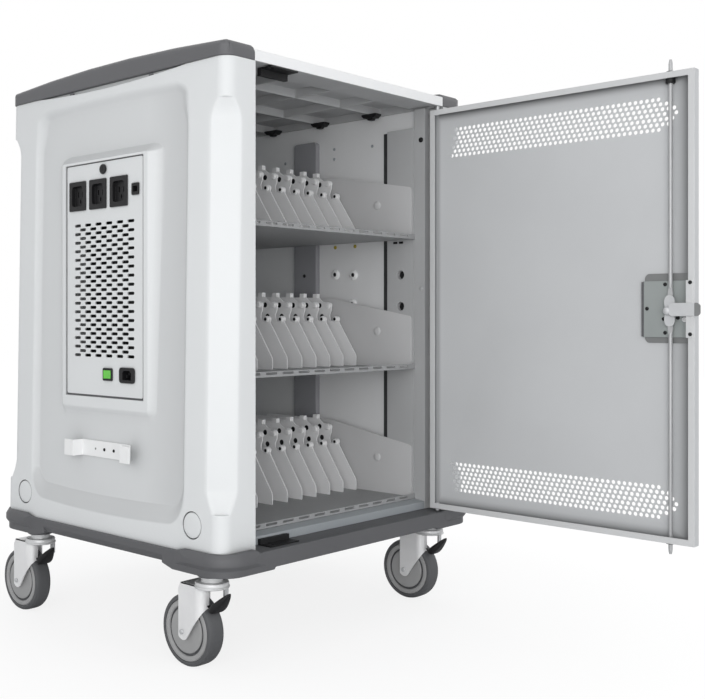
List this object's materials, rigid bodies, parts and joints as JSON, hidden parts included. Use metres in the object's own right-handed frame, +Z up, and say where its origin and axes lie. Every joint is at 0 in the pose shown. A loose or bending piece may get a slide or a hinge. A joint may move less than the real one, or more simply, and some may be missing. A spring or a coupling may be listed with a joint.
{
  "type": "laptop charging cart",
  "caption": "Laptop charging cart on braked swivel casters, with divided shelves behind a hinged locking door and a powered side panel with sockets, vent and cord wrap.",
  "frame": {"origin": "on the floor, under the middle of the cart body", "axes": "+X towards the door's hinge side, +Y from the door side to the back, +Z up"},
  "size_m": [0.733, 1.2257, 1.072],
  "materials": {
    "pale_plastic": "fine moulded grain",
    "dark_plastic": "moulded grain",
    "black_plastic": "satin",
    "green_plastic": "translucent gloss",
    "sheet_steel": "powder coat",
    "door_steel": "powder coat",
    "zinc_steel": "bright zinc plate",
    "grey_tyre": "matt"
  },
  "bodies": {
    "cart": {"base_chassis": "dark_plastic", "floor_pan": "sheet_steel", "left_side_panel": "pale_plastic", "right_side_panel": "pale_plastic", "left_bolt_cover_front": "pale_plastic", "right_bolt_cover_front": "pale_plastic", "left_bolt_cover_rear": "pale_plastic", "right_bolt_cover_rear": "pale_plastic", "left_top_cap": "dark_plastic", "right_top_cap": "dark_plastic", "top_panel": "pale_plastic", "rear_panel": "sheet_steel", "left_side_frame": "sheet_steel", "right_side_frame": "sheet_steel", "left_rear_duct": "dark_plastic", "right_rear_duct": "dark_plastic", "lower_shelf": "sheet_steel", "middle_shelf": "sheet_steel", "upper_shelf": "sheet_steel", "lower_power_strip": "black_plastic", "middle_power_strip": "black_plastic", "upper_power_strip": "black_plastic", "cord_wrap": "sheet_steel", "upper_hinge_pin": "zinc_steel", "lower_hinge_pin": "zinc_steel", "upper_latch_catch": "black_plastic", "lower_latch_catch": "black_plastic"},
    "power_panel": {"power_plate": "door_steel", "outlet_1": "black_plastic", "outlet_2": "black_plastic", "outlet_3": "black_plastic", "data_port": "black_plastic", "power_inlet": "black_plastic", "switch_frame": "black_plastic"},
    "power_rocker": {"rocker": "green_plastic"},
    "plate_lock": {"panel_lock": "black_plastic"},
    "door": {"door_shell": "door_steel", "lock_plate": "zinc_steel", "upper_rod_bush": "black_plastic", "lower_rod_bush": "black_plastic"},
    "door_latch": {"latch_cam": "zinc_steel", "door_handle": "dark_plastic"},
    "upper_rod": {"upper_latch_rod": "zinc_steel"},
    "lower_rod": {"lower_latch_rod": "zinc_steel"},
    "front_left_caster": {"front_left_fork": "zinc_steel", "front_left_axle": "zinc_steel"},
    "front_left_roller": {"front_left_wheel": "grey_tyre"},
    "front_left_brake": {"front_left_pedal": "black_plastic"},
    "front_right_caster": {"front_right_fork": "zinc_steel", "front_right_axle": "zinc_steel"},
    "front_right_roller": {"front_right_wheel": "grey_tyre"},
    "front_right_brake": {"front_right_pedal": "black_plastic"},
    "rear_left_caster": {"rear_left_fork": "zinc_steel", "rear_left_axle": "zinc_steel"},
    "rear_left_roller": {"rear_left_wheel": "grey_tyre"},
    "rear_left_brake": {"rear_left_pedal": "black_plastic"},
    "rear_right_caster": {"rear_right_fork": "zinc_steel", "rear_right_axle": "zinc_steel"},
    "rear_right_roller": {"rear_right_wheel": "grey_tyre"},
    "rear_right_brake": {"rear_right_pedal": "black_plastic"}
  },
  "joints": [
    {"name": "door_hinge", "type": "hinge", "parent": "cart", "child": "door", "pos_m": [0.2636, -0.313, 0.6], "axis": [0, 0, 1], "range_deg": [-90, 15]},
    {"name": "handle_turn", "type": "hinge", "parent": "door", "child": "door_latch", "pos_m": [0.2586, -0.8012, 0.612], "axis": [1, 0, 0], "range_deg": [0, 90]},
    {"name": "upper_rod_slide", "type": "slide", "parent": "door", "child": "upper_rod", "axis": [0, 0, 1], "range_m": [-0.017, 0]},
    {"name": "lower_rod_slide", "type": "slide", "parent": "door", "child": "lower_rod", "axis": [0, 0, 1], "range_m": [0, 0.017]},
    {"name": "power_panel_hinge", "type": "hinge", "parent": "cart", "child": "power_panel", "pos_m": [-0.3485, 0, 0.456], "axis": [0, -1, 0], "range_deg": [0, 70]},
    {"name": "rocker_tilt", "type": "hinge", "parent": "power_panel", "child": "power_rocker", "pos_m": [-0.349, -0.0135, 0.496], "axis": [0, 0, 1], "range_deg": [-16, 0]},
    {"name": "plate_lock_turn", "type": "hinge", "parent": "power_panel", "child": "plate_lock", "pos_m": [-0.325, 0, 0.874], "axis": [1, 0, 0], "range_deg": [0, 90]},
    {"name": "front_left_swivel", "type": "hinge", "parent": "cart", "child": "front_left_caster", "pos_m": [-0.314, -0.256, 0.17], "axis": [0, 0, 1], "continuous": true},
    {"name": "front_left_spin", "type": "hinge", "parent": "front_left_caster", "child": "front_left_roller", "pos_m": [-0.314, -0.208, 0.0625], "axis": [1, 0, 0], "continuous": true},
    {"name": "front_left_brake_tilt", "type": "hinge", "parent": "front_left_caster", "child": "front_left_brake", "pos_m": [-0.314, -0.236, 0.129], "axis": [1, 0, 0], "range_deg": [-10, 4]},
    {"name": "front_right_swivel", "type": "hinge", "parent": "cart", "child": "front_right_caster", "pos_m": [0.314, -0.256, 0.17], "axis": [0, 0, 1], "continuous": true},
    {"name": "front_right_spin", "type": "hinge", "parent": "front_right_caster", "child": "front_right_roller", "pos_m": [0.314, -0.208, 0.0625], "axis": [1, 0, 0], "continuous": true},
    {"name": "front_right_brake_tilt", "type": "hinge", "parent": "front_right_caster", "child": "front_right_brake", "pos_m": [0.314, -0.236, 0.129], "axis": [1, 0, 0], "range_deg": [-10, 4]},
    {"name": "rear_left_swivel", "type": "hinge", "parent": "cart", "child": "rear_left_caster", "pos_m": [-0.314, 0.256, 0.17], "axis": [0, 0, 1], "continuous": true},
    {"name": "rear_left_spin", "type": "hinge", "parent": "rear_left_caster", "child": "rear_left_roller", "pos_m": [-0.314, 0.304, 0.0625], "axis": [1, 0, 0], "continuous": true},
    {"name": "rear_left_brake_tilt", "type": "hinge", "parent": "rear_left_caster", "child": "rear_left_brake", "pos_m": [-0.314, 0.276, 0.129], "axis": [1, 0, 0], "range_deg": [-10, 4]},
    {"name": "rear_right_swivel", "type": "hinge", "parent": "cart", "child": "rear_right_caster", "pos_m": [0.314, 0.256, 0.17], "axis": [0, 0, 1], "continuous": true},
    {"name": "rear_right_spin", "type": "hinge", "parent": "rear_right_caster", "child": "rear_right_roller", "pos_m": [0.314, 0.304, 0.0625], "axis": [1, 0, 0], "continuous": true},
    {"name": "rear_right_brake_tilt", "type": "hinge", "parent": "rear_right_caster", "child": "rear_right_brake", "pos_m": [0.314, 0.276, 0.129], "axis": [1, 0, 0], "range_deg": [-10, 4]}
  ],
  "couplings": [
    {"joint": "upper_rod_slide", "follows": "handle_turn", "m_per_rad": -0.01082},
    {"joint": "lower_rod_slide", "follows": "handle_turn", "m_per_rad": 0.01082}
  ]
}
